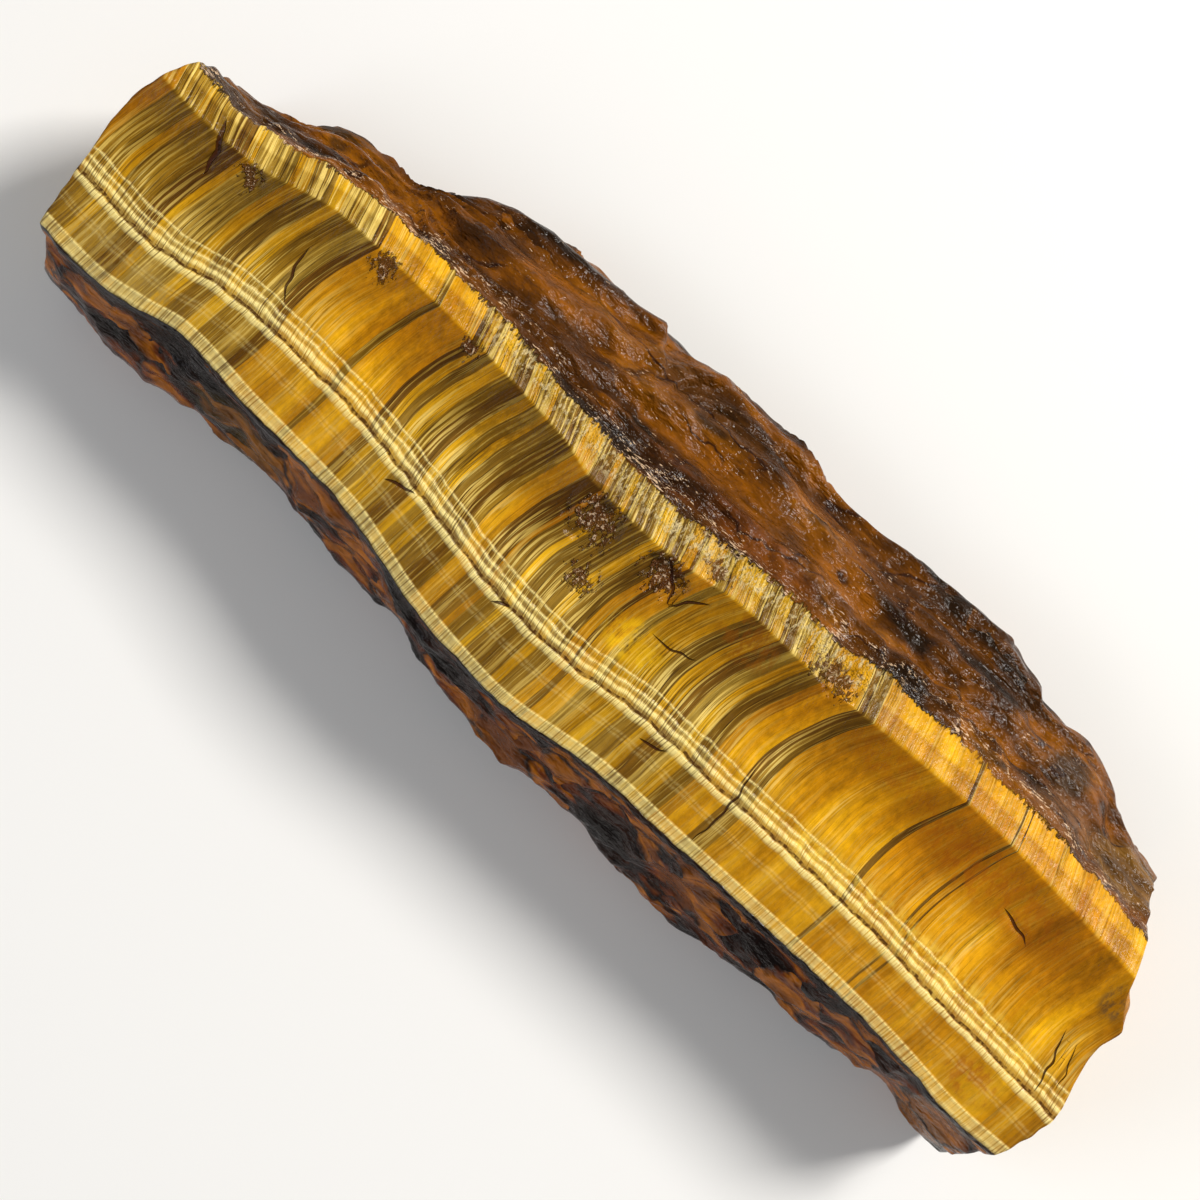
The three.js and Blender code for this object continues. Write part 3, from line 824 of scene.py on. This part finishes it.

    # Torn pits, brown with glints painted in as pale specks, and fibres frayed to pale ends.
    damage = put(tree, "ShaderNodeAttribute", {"attribute_name": "torn"}, {}, "Vector")
    inside, frayed, _ = put(tree, "ShaderNodeSeparateXYZ", {}, {0: damage}).node.outputs
    pit = put(tree, "ShaderNodeMath", {"operation": "MULTIPLY_ADD"}, {0: shared["rags"], 1: 3.2, 2: inside})
    pit = put(tree, "ShaderNodeMapRange", {}, {0: pit, 1: 1.9, 2: 2.15, 4: 0.85})
    painted_glint = put(tree, "ShaderNodeMapRange", {}, {0: shared["speck"], 1: 0.56, 2: 0.64, 4: 0.8})
    torn = put(tree, "ShaderNodeMix", {"data_type": "RGBA"},
               {0: painted_glint, 6: linear("#57300f"), 7: linear("#e8c9a4")}, 2)
    colour = put(tree, "ShaderNodeMix", {"data_type": "RGBA"}, {0: pit, 6: colour, 7: torn}, 2)
    ends = put(tree, "ShaderNodeMapRange", {}, {0: shared["ends"], 1: 0.5, 2: 0.62, 4: 0.75})
    ends = put(tree, "ShaderNodeMath", {"operation": "MULTIPLY"}, {0: ends, 1: frayed})
    colour = put(tree, "ShaderNodeMix", {"data_type": "RGBA"},
                 {0: ends, 6: colour, 7: linear("#d9c490")}, 2)

    # Open cracks, darkened inside with painted shade; the same mask sinks them in the relief.
    cracks = put(tree, "ShaderNodeAttribute", {"attribute_name": "cracks"}, {}, "Vector")
    way, gape, _ = put(tree, "ShaderNodeSeparateXYZ", {}, {0: cracks}).node.outputs
    away = put(tree, "ShaderNodeMath", {"operation": "ABSOLUTE"}, {0: way})
    crack = put(tree, "ShaderNodeMath", {"operation": "MULTIPLY"}, {0: gape, 1: 0.55})
    crack = put(tree, "ShaderNodeMath", {"operation": "SUBTRACT"}, {0: crack, 1: away})
    crack = put(tree, "ShaderNodeMapRange", {}, {0: crack, 1: 0.02, 2: 0.2, 4: 0.92})
    colour = put(tree, "ShaderNodeMix", {"data_type": "RGBA"},
                 {0: crack, 6: colour, 7: linear("#3a1806")}, 2)

    # The relief.
    relief = put(tree, "ShaderNodeMath", {"operation": "MULTIPLY"}, {0: shared["silk"], 1: 0.25})
    for part, rise in ((stripe, 0.3), (hair, 0.2), (lines, 0.25), (crack, -0.7)):
        relief = put(tree, "ShaderNodeMath", {"operation": "MULTIPLY_ADD"}, {0: part, 1: rise, 2: relief})
    rough = put(tree, "ShaderNodeMath", {"operation": "MAXIMUM"}, {0: pit, 1: frayed})
    rough = put(tree, "ShaderNodeMath", {"operation": "MULTIPLY"}, {0: rough, 1: shared["speck"]})
    relief = put(tree, "ShaderNodeMath", {"operation": "MULTIPLY_ADD"}, {0: rough, 1: 1.5, 2: relief})
    return colour, relief


def brown_wall(tree, shared):
    """Jasper stained by goethite: dark and orange browns smeared along the stone over long flakes, with
    broad stains, thin crevices darkened with painted shade in places, and glints painted as pale specks that
    crowd towards the fibres."""
    tone = put(tree, "ShaderNodeMath", {"operation": "MULTIPLY_ADD"},
               {0: shared["flake"], 1: 0.16, 2: shared["flow"]})
    stops = [
        (0.4, linear("#241404")), (0.5, linear("#422304")), (0.58, linear("#5f3403")),
        (0.65, linear("#784302")), (0.72, linear("#8c5203")), (0.8, linear("#462c0e")),
    ]
    crust = put(tree, "ShaderNodeValToRGB", {"stops": stops}, {0: tone})
    stain = put(tree, "ShaderNodeAttribute", {"attribute_name": "stain"}, {}).node
    share = put(tree, "ShaderNodeMapRange", {}, {0: shared["flow"], 1: 0.34, 2: 0.5, 3: 0.25, 4: 1.0})
    share = put(tree, "ShaderNodeMath", {"operation": "MULTIPLY"}, {0: share, 1: stain.outputs["Alpha"]})
    crust = put(tree, "ShaderNodeMix", {"data_type": "RGBA"},
                {0: share, 6: crust, 7: stain.outputs["Color"]}, 2)
    crust = put(tree, "ShaderNodeVectorMath", {"operation": "SCALE"}, {0: crust, "Scale": shared["shade"]})
    crust = put(tree, "ShaderNodeVectorMath", {"operation": "SCALE"}, {0: crust, "Scale": 0.9})

    # Painted shade in crevices along the parts of the outlines where the crust has opened.
    opened = put(tree, "ShaderNodeMapRange", {}, {0: shared["opened"], 1: 0.48, 2: 0.6, 4: 0.85})
    crevice_shade = put(tree, "ShaderNodeMapRange", {}, {0: shared["out"], 1: 0.045, 2: 0.015})
    crevice_shade = put(tree, "ShaderNodeMath", {"operation": "MULTIPLY"}, {0: crevice_shade, 1: opened})
    crust = put(tree, "ShaderNodeMix", {"data_type": "RGBA"},
                {0: crevice_shade, 6: crust, 7: linear("#240d03")}, 2)

    # Painted glints: pale specks, most of them along the flakes' outlines and towards the fibres.
    crowd = put(tree, "ShaderNodeMapRange", {}, {0: shared["past_brown"], 1: 9.0, 2: 1.0, 3: 0.72, 4: 0.6})
    near = put(tree, "ShaderNodeMapRange", {}, {0: shared["out"], 1: 0.1, 2: 0.04, 4: 0.09})
    crowd = put(tree, "ShaderNodeMath", {"operation": "SUBTRACT"}, {0: crowd, 1: near})
    glint = put(tree, "ShaderNodeMath", {"operation": "SUBTRACT"}, {0: shared["glint"], 1: crowd})
    glint = put(tree, "ShaderNodeMapRange", {}, {0: glint, 1: 0.0, 2: 0.06, 4: 0.75})
    return put(tree, "ShaderNodeMix", {"data_type": "RGBA"}, {0: glint, 6: crust, 7: linear("#ecc8a0")}, 2)


def dark_wall(tree, shared):
    """A thin black skin of ironstone over flaked red and orange jasper, with painted shade in the gaps
    between some of the flakes.
    """
    facet = put(tree, "ShaderNodeMath", {"operation": "MULTIPLY_ADD"},
                {0: shared["flake"], 1: 0.32, 2: shared["flow"]})
    stops = [
        (0.5, linear("#120501")), (0.61, linear("#2c0f02")), (0.67, linear("#6e3004")),
        (0.72, linear("#b06408")), (0.84, linear("#6c3606")),
    ]
    jasper = put(tree, "ShaderNodeValToRGB", {"stops": stops}, {0: facet})
    stain = put(tree, "ShaderNodeAttribute", {"attribute_name": "stain"}, {}).node.outputs
    share = put(tree, "ShaderNodeMath", {"operation": "MULTIPLY"}, {0: stain["Alpha"], 1: 0.6})
    jasper = put(tree, "ShaderNodeMix", {"data_type": "RGBA"}, {0: share, 6: jasper, 7: stain["Color"]}, 2)
    jasper = put(tree, "ShaderNodeVectorMath", {"operation": "SCALE"},
                 {0: jasper, "Scale": shared["shade"]})
    # Painted shade in the gaps between some of the flakes, where they have opened.
    gap_shade = put(tree, "ShaderNodeMapRange", {}, {0: shared["out"], 1: 0.09, 2: 0.02, 4: 0.9})
    opened = put(tree, "ShaderNodeMapRange", {}, {0: shared["opened"], 1: 0.44, 2: 0.56})
    gap_shade = put(tree, "ShaderNodeMath", {"operation": "MULTIPLY"}, {0: gap_shade, 1: opened})
    skin = put(tree, "ShaderNodeMath", {"operation": "MULTIPLY_ADD"},
               {0: shared["wobble"], 1: -4.0, 2: shared["past_dark"]})
    skin = put(tree, "ShaderNodeMapRange", {}, {0: skin, 1: 0.4, 2: -0.4, 4: 0.95})
    # The painted shade in the gaps takes the skin's black.
    skin = put(tree, "ShaderNodeMath", {"operation": "MAXIMUM"}, {0: skin, 1: gap_shade})
    return put(tree, "ShaderNodeMix", {"data_type": "RGBA"}, {0: skin, 6: jasper, 7: linear("#140603")}, 2)


def tigers_eye():
    """Tiger's eye, quartz that has replaced crocidolite, broken along its fibres, with the goethite-stained
    jasper and ironstone of its walls. The eye sees silky bands of gold and olive across the fibres, which
    carry painted shade and sheen, pale lines of painted sheen where the fibres fold, waxy brown crust on one
    wall and glossy red and black flakes on the other."""
    material = bpy.data.materials.new("tigers_eye_quartz")
    material.use_nodes = True
    tree = material.node_tree
    tree.nodes.clear()

    place = put(tree, "ShaderNodeTexCoord", {}, {}, "Object")
    in_mm = put(tree, "ShaderNodeVectorMath", {"operation": "SCALE"}, {0: place, "Scale": 1 / MM})
    walls = put(tree, "ShaderNodeAttribute", {"attribute_name": "walls"}, {}, "Vector")
    past_brown, past_dark, unseen = put(tree, "ShaderNodeSeparateXYZ", {}, {0: walls}).node.outputs
    shared = {"past_brown": past_brown, "past_dark": past_dark}
    for name, (size, detail, roughness) in LUMPS.items():
        scaled = put(tree, "ShaderNodeVectorMath", {"operation": "DIVIDE"}, {0: in_mm, 1: size})
        shared[name] = put(tree, "ShaderNodeTexNoise", {}, {
            "Vector": scaled, "Scale": 1.0, "Detail": detail, "Roughness": roughness,
        })
    mottle = shared["mottle"]
    shared["shade"] = put(tree, "ShaderNodeMapRange", {}, {0: mottle, 1: 0.3, 2: 0.7, 3: 0.62, 4: 1.3})

    # The seam, with the walls starting at ragged edges.
    colour, relief = fibres(tree, shared)
    brown = put(tree, "ShaderNodeMath", {"operation": "MULTIPLY_ADD"}, {0: mottle, 1: 2.0, 2: past_brown})
    brown = put(tree, "ShaderNodeMath", {"operation": "MULTIPLY_ADD"},
                {0: shared["tips"], 1: 4.5, 2: brown})
    brown = put(tree, "ShaderNodeMapRange", {}, {0: brown, 1: 3.0, 2: 3.5})
    dark = put(tree, "ShaderNodeMath", {"operation": "MULTIPLY_ADD"}, {0: mottle, 1: 1.2, 2: past_dark})
    dark = put(tree, "ShaderNodeMapRange", {}, {0: dark, 1: 0.4, 2: 0.8})
    size = put(tree, "ShaderNodeMix", {"data_type": "VECTOR"}, {0: dark, 4: (34, 9, 9), 5: (17, 9, 9)}, 1)
    shared["flake"], leaning, shared["out"] = flakes(tree, in_mm, size)
    crust = brown_wall(tree, shared)
    colour = put(tree, "ShaderNodeMix", {"data_type": "RGBA"}, {0: brown, 6: colour, 7: crust}, 2)
    jasper = dark_wall(tree, shared)
    colour = put(tree, "ShaderNodeMix", {"data_type": "RGBA"}, {0: dark, 6: colour, 7: jasper}, 2)
    wall = put(tree, "ShaderNodeMath", {"operation": "MAXIMUM"}, {0: brown, 1: dark})

    # Relief too fine for the mesh, in millimetres: lumps, and long grooves where the walls have slid.
    lumps = put(tree, "ShaderNodeMath", {"operation": "MULTIPLY"}, {0: mottle, 1: 1.2})
    lumps = put(tree, "ShaderNodeMath", {"operation": "MULTIPLY_ADD"},
                {0: shared["grooves"], 1: 0.6, 2: lumps})
    lumps = put(tree, "ShaderNodeMath", {"operation": "MULTIPLY_ADD"},
                {0: shared["grain"], 1: 0.25, 2: lumps})
    lumps = put(tree, "ShaderNodeMath", {"operation": "MULTIPLY_ADD"}, {0: leaning, 1: 3.2, 2: lumps})
    relief = put(tree, "ShaderNodeMix", {}, {0: wall, 2: relief, 3: lumps})
    bump = put(tree, "ShaderNodeBump", {}, {"Strength": 1.0, "Distance": MM, "Height": relief})

    # Gloss: silky on the fibres, wet and waxy on the walls, dull on the sides that weren't freshly broken.
    silky = put(tree, "ShaderNodeMapRange", {}, {0: shared["grain"], 1: 0.35, 2: 0.65, 3: 0.2, 4: 0.34})
    waxy = put(tree, "ShaderNodeMapRange", {}, {0: mottle, 1: 0.35, 2: 0.65, 3: 0.08, 4: 0.2})
    roughness = put(tree, "ShaderNodeMix", {}, {0: wall, 2: silky, 3: waxy})
    roughness = put(tree, "ShaderNodeMath", {"operation": "MULTIPLY_ADD"},
                    {0: unseen, 1: 0.15, 2: roughness})

    surface = put(tree, "ShaderNodeBsdfPrincipled", {}, {
        "Base Color": colour, "Roughness": roughness, "Normal": bump,
        "IOR": QUARTZ_IOR, "Specular IOR Level": GLOSS,
    })
    put(tree, "ShaderNodeOutputMaterial", {}, {"Surface": surface})
    return material


def pale_floor():
    """Matt white laminate: a smooth, faintly warm white with no pattern."""
    material = bpy.data.materials.new("matt_white_laminate")
    material.use_nodes = True
    surface = material.node_tree.nodes["Principled BSDF"]
    surface.inputs["Base Color"].default_value = linear("#f2f1ee")
    surface.inputs["Roughness"].default_value = 0.6
    return material


# Pieces, floor, lights and camera.

mesh = stone_mesh()
lay_out_map(mesh)
mesh.materials.append(tigers_eye())
stone = bpy.data.objects.new("tigers_eye_slab", mesh)
bpy.context.scene.collection.objects.link(stone)
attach(stone, "root")
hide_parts("tigers_eye_stone")

floor_mesh = bpy.data.meshes.new("floor")
corners = [(FLOOR_REACH * x, FLOOR_REACH * y, 0) for x, y in ((-1, -1), (1, -1), (1, 1), (-1, 1))]
floor_mesh.from_pydata(corners, [], [(0, 1, 2, 3)])
floor_mesh.materials.append(pale_floor())
floor = bpy.data.objects.new("floor", floor_mesh)
bpy.context.scene.collection.objects.link(floor)


def soft_box(name, place, size, watts, colour):
    """A square area light at a place in metres, facing the stone."""
    lamp = bpy.data.lights.new(name, "AREA")
    lamp.size = size
    lamp.energy = watts
    lamp.color = linear(colour)[:3]
    light = bpy.data.objects.new(name, lamp)
    light.location = place
    aim = -np.array(place) / np.linalg.norm(place)
    light.rotation_euler = (np.arccos(-aim[2]), 0, np.arctan2(-aim[0], aim[1]))
    bpy.context.scene.collection.objects.link(light)


soft_box("key", (0.9, 1.7, 1.7), 0.7, 76, "#fffcf8")
soft_box("fill", (-1.6, -1.3, 1.3), 1.6, 18, "#eef3ff")

world = bpy.data.worlds.new("studio")
world.use_nodes = True
world.node_tree.nodes["Background"].inputs["Color"].default_value = linear("#f4f4f2")
world.node_tree.nodes["Background"].inputs["Strength"].default_value = 0.28
bpy.context.scene.world = world
bpy.context.scene.view_settings.view_transform = "Standard"

lens = bpy.data.cameras.new("camera")
lens.lens = 85
camera = bpy.data.objects.new("camera", lens)
camera.location = (0.0003, -0.0065, 0.6603)
camera.rotation_euler = (0, 0, np.radians(43.8))
bpy.context.scene.collection.objects.link(camera)
bpy.context.scene.camera = camera
